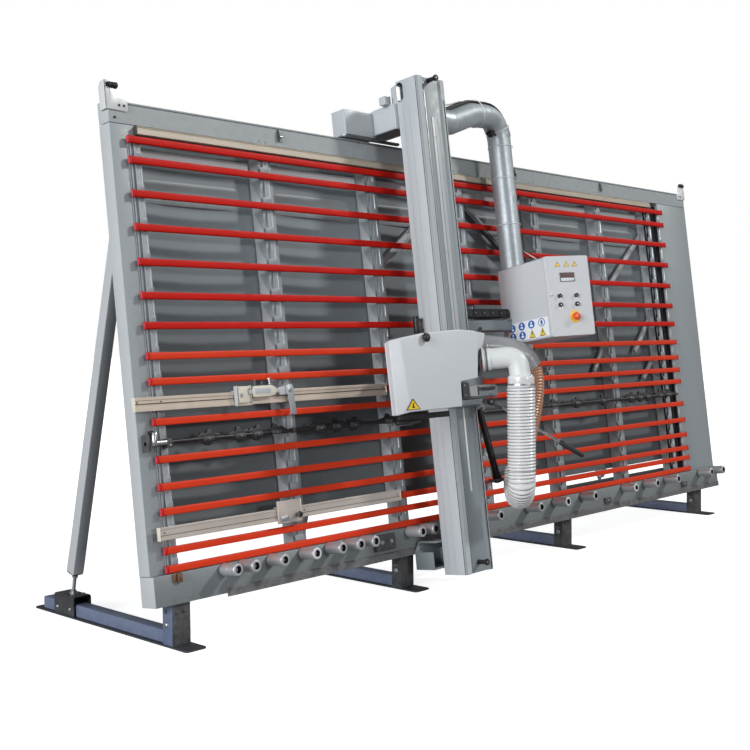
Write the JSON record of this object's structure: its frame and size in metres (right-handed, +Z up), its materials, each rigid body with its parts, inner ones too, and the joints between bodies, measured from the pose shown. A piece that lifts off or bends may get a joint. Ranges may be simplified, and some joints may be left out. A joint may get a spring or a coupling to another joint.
{
  "type": "panel saw",
  "caption": "Vertical panel saw: leaning slatted support frame on feet, with a travelling column that carries a plunging, swivelling saw head, dust hoses and a control box.",
  "frame": {"origin": "middle of the left foot's sole on the floor", "axes": "+X along the machine from its left end, +Y towards the back (the operator stands on the -Y side), +Z up"},
  "size_m": [5.348, 1.8596, 2.8073],
  "materials": {
    "frame_paint": "satin cool grey paint on steel",
    "light_paint": "satin light grey paint on steel",
    "panel_sheet": "dark grey painted sheet",
    "red_slat": "vermilion extruded plastic facing strips",
    "anodised": "warm anodised extrusion",
    "foot_paint": "blue-grey paint",
    "black_steel": "black painted steel",
    "steel": "bright zinc-plated steel",
    "blade_steel": "ground steel with carbide teeth",
    "galvanised": "galvanised spiral duct",
    "white_plastic": "white moulded plastic",
    "black_plastic": "black moulded plastic",
    "clear_hose": "translucent ribbed hose film on a wire helix",
    "panel_front": "off-white control panel",
    "stop_red": "orange-red mushroom button"
  },
  "bodies": {
    "frame": {"main_frame": "frame_paint", "back_panel": "panel_sheet", "slat_grid": "red_slat", "top_guide_rail": "anodised", "lower_guide_rail": "black_steel", "end_stop_left": "white_plastic", "end_stop_right": "white_plastic", "foot_1": "foot_paint", "foot_2": "foot_paint", "foot_3": "foot_paint", "foot_4": "foot_paint", "rear_strut_1": "light_paint", "rear_strut_2": "light_paint", "rear_strut_3": "light_paint", "rear_strut_4": "light_paint", "upper_stop_rail": "anodised", "lower_stop_rail": "anodised"},
    "column": {"column_beam": "light_paint", "top_carriage": "light_paint", "bottom_carriage": "frame_paint", "suction_pipe": "galvanised", "control_box": "light_paint", "cable_chain": "black_plastic", "dust_hose_rear": "clear_hose"},
    "saw_head": {"head_saddle": "frame_paint", "saw_cover": "light_paint", "hose_elbow": "white_plastic", "dust_hose_front": "clear_hose"},
    "swivel_turret": {"swivel_turret": "steel"},
    "saw_unit": {"saw_motor": "black_steel"},
    "saw_blade": {"saw_blade": "blade_steel"},
    "plunge_lever": {"plunge_lever": "black_plastic"},
    "control_door": {"control_door": "panel_front"},
    "emergency_stop": {"emergency_stop": "stop_red"},
    "push_button_1": {"push_button_1": "black_plastic"},
    "push_button_2": {"push_button_2": "black_plastic"},
    "push_button_3": {"push_button_3": "black_plastic"},
    "push_button_4": {"push_button_4": "black_plastic"},
    "support_shaft": {"support_shaft": "black_steel"},
    "upper_stop": {"upper_stop_slider": "white_plastic"},
    "flip_stop": {"flip_stop": "steel"},
    "lower_stop": {"lower_stop_slider": "steel"},
    "board_roller_01": {"board_roller_01": "steel"},
    "board_roller_02": {"board_roller_02": "steel"},
    "board_roller_03": {"board_roller_03": "steel"},
    "board_roller_04": {"board_roller_04": "steel"},
    "board_roller_05": {"board_roller_05": "steel"},
    "board_roller_06": {"board_roller_06": "steel"},
    "board_roller_07": {"board_roller_07": "steel"},
    "board_roller_08": {"board_roller_08": "steel"},
    "board_roller_09": {"board_roller_09": "steel"},
    "board_roller_10": {"board_roller_10": "steel"},
    "board_roller_11": {"board_roller_11": "steel"},
    "board_roller_12": {"board_roller_12": "steel"},
    "board_roller_13": {"board_roller_13": "steel"},
    "board_roller_14": {"board_roller_14": "steel"},
    "board_roller_15": {"board_roller_15": "steel"},
    "board_roller_16": {"board_roller_16": "steel"},
    "board_roller_17": {"board_roller_17": "steel"},
    "board_roller_18": {"board_roller_18": "steel"}
  },
  "joints": [
    {"name": "column_slide", "type": "slide", "parent": "frame", "child": "column", "axis": [1, 0, 0], "range_m": [-1.35, 2.7]},
    {"name": "head_slide", "type": "slide", "parent": "column", "child": "saw_head", "axis": [0, 0.1197, 0.9928], "range_m": [-0.65, 1.2], "deforming": ["dust_hose_front", "dust_hose_rear"]},
    {"name": "head_swivel", "type": "hinge", "parent": "saw_head", "child": "swivel_turret", "pos_m": [1.478, -0.836, 1.18555], "axis": [0, -0.9928, 0.1197], "range_deg": [0, 90]},
    {"name": "lever_turn", "type": "hinge", "parent": "saw_head", "child": "plunge_lever", "pos_m": [1.898, -0.87432, 1.01391], "axis": [-0.7238, -0.685, 0.0826], "range_deg": [0, 35]},
    {"name": "plunge_slide", "type": "slide", "parent": "swivel_turret", "child": "saw_unit", "axis": [0, 0.9928, -0.1197], "range_m": [0, 0.079]},
    {"name": "blade_spin", "type": "hinge", "parent": "saw_unit", "child": "saw_blade", "pos_m": [1.478, -0.68459, 1.1673], "axis": [1, 0, 0], "continuous": true},
    {"name": "door_hinge", "type": "hinge", "parent": "column", "child": "control_door", "pos_m": [2.47313, -1.14353, 1.60136], "axis": [0, 0.1197, 0.9928], "range_deg": [0, 110]},
    {"name": "upper_stop_slide", "type": "slide", "parent": "frame", "child": "upper_stop", "axis": [1, 0, 0], "range_m": [-0.5, 0.7]},
    {"name": "flip_stop_turn", "type": "hinge", "parent": "upper_stop", "child": "flip_stop", "pos_m": [0.713, -0.52625, 1.12303], "axis": [0, -0.9928, 0.1197], "range_deg": [0, 100]},
    {"name": "lower_stop_slide", "type": "slide", "parent": "frame", "child": "lower_stop", "axis": [1, 0, 0], "range_m": [-0.6, 0.7]},
    {"name": "support_shaft_turn", "type": "hinge", "parent": "frame", "child": "support_shaft", "pos_m": [-0.127, -0.50216, 0.91767], "axis": [1, 0, 0], "range_deg": [0, 90]},
    {"name": "emergency_stop_press", "type": "slide", "parent": "control_door", "child": "emergency_stop", "axis": [0.3567, 0.9275, -0.1118], "range_m": [0, 0.005], "stiffness_N_per_m": 400},
    {"name": "push_button_1_press", "type": "slide", "parent": "control_door", "child": "push_button_1", "axis": [0.3567, 0.9275, -0.1118], "range_m": [0, 0.003], "stiffness_N_per_m": 400},
    {"name": "push_button_2_press", "type": "slide", "parent": "control_door", "child": "push_button_2", "axis": [0.3567, 0.9275, -0.1118], "range_m": [0, 0.003], "stiffness_N_per_m": 400},
    {"name": "push_button_3_press", "type": "slide", "parent": "control_door", "child": "push_button_3", "axis": [0.3567, 0.9275, -0.1118], "range_m": [0, 0.003], "stiffness_N_per_m": 400},
    {"name": "push_button_4_press", "type": "slide", "parent": "control_door", "child": "push_button_4", "axis": [0.3567, 0.9275, -0.1118], "range_m": [0, 0.003], "stiffness_N_per_m": 400},
    {"name": "board_roller_01_spin", "type": "hinge", "parent": "frame", "child": "board_roller_01", "pos_m": [0.243, -0.57592, 0.31013], "axis": [0, -0.9928, 0.1197], "continuous": true},
    {"name": "board_roller_02_spin", "type": "hinge", "parent": "frame", "child": "board_roller_02", "pos_m": [0.353, -0.57592, 0.31013], "axis": [0, -0.9928, 0.1197], "continuous": true},
    {"name": "board_roller_03_spin", "type": "hinge", "parent": "frame", "child": "board_roller_03", "pos_m": [0.533, -0.57592, 0.31013], "axis": [0, -0.9928, 0.1197], "continuous": true},
    {"name": "board_roller_04_spin", "type": "hinge", "parent": "frame", "child": "board_roller_04", "pos_m": [0.743, -0.57592, 0.31013], "axis": [0, -0.9928, 0.1197], "continuous": true},
    {"name": "board_roller_05_spin", "type": "hinge", "parent": "frame", "child": "board_roller_05", "pos_m": [0.923, -0.57592, 0.31013], "axis": [0, -0.9928, 0.1197], "continuous": true},
    {"name": "board_roller_06_spin", "type": "hinge", "parent": "frame", "child": "board_roller_06", "pos_m": [1.053, -0.57592, 0.31013], "axis": [0, -0.9928, 0.1197], "continuous": true},
    {"name": "board_roller_07_spin", "type": "hinge", "parent": "frame", "child": "board_roller_07", "pos_m": [1.163, -0.57592, 0.31013], "axis": [0, -0.9928, 0.1197], "continuous": true},
    {"name": "board_roller_08_spin", "type": "hinge", "parent": "frame", "child": "board_roller_08", "pos_m": [1.533, -0.57592, 0.31013], "axis": [0, -0.9928, 0.1197], "continuous": true},
    {"name": "board_roller_09_spin", "type": "hinge", "parent": "frame", "child": "board_roller_09", "pos_m": [1.643, -0.57592, 0.31013], "axis": [0, -0.9928, 0.1197], "continuous": true},
    {"name": "board_roller_10_spin", "type": "hinge", "parent": "frame", "child": "board_roller_10", "pos_m": [2.233, -0.57592, 0.31013], "axis": [0, -0.9928, 0.1197], "continuous": true},
    {"name": "board_roller_11_spin", "type": "hinge", "parent": "frame", "child": "board_roller_11", "pos_m": [2.643, -0.57592, 0.31013], "axis": [0, -0.9928, 0.1197], "continuous": true},
    {"name": "board_roller_12_spin", "type": "hinge", "parent": "frame", "child": "board_roller_12", "pos_m": [2.933, -0.57592, 0.31013], "axis": [0, -0.9928, 0.1197], "continuous": true},
    {"name": "board_roller_13_spin", "type": "hinge", "parent": "frame", "child": "board_roller_13", "pos_m": [3.253, -0.57592, 0.31013], "axis": [0, -0.9928, 0.1197], "continuous": true},
    {"name": "board_roller_14_spin", "type": "hinge", "parent": "frame", "child": "board_roller_14", "pos_m": [3.763, -0.57592, 0.31013], "axis": [0, -0.9928, 0.1197], "continuous": true},
    {"name": "board_roller_15_spin", "type": "hinge", "parent": "frame", "child": "board_roller_15", "pos_m": [4.053, -0.57592, 0.31013], "axis": [0, -0.9928, 0.1197], "continuous": true},
    {"name": "board_roller_16_spin", "type": "hinge", "parent": "frame", "child": "board_roller_16", "pos_m": [4.353, -0.57592, 0.31013], "axis": [0, -0.9928, 0.1197], "continuous": true},
    {"name": "board_roller_17_spin", "type": "hinge", "parent": "frame", "child": "board_roller_17", "pos_m": [4.863, -0.57592, 0.31013], "axis": [0, -0.9928, 0.1197], "continuous": true},
    {"name": "board_roller_18_spin", "type": "hinge", "parent": "frame", "child": "board_roller_18", "pos_m": [5.053, -0.57592, 0.31013], "axis": [0, -0.9928, 0.1197], "continuous": true}
  ],
  "couplings": [
    {"joint": "plunge_slide", "follows": "lever_turn", "m_per_rad": 0.1293}
  ]
}
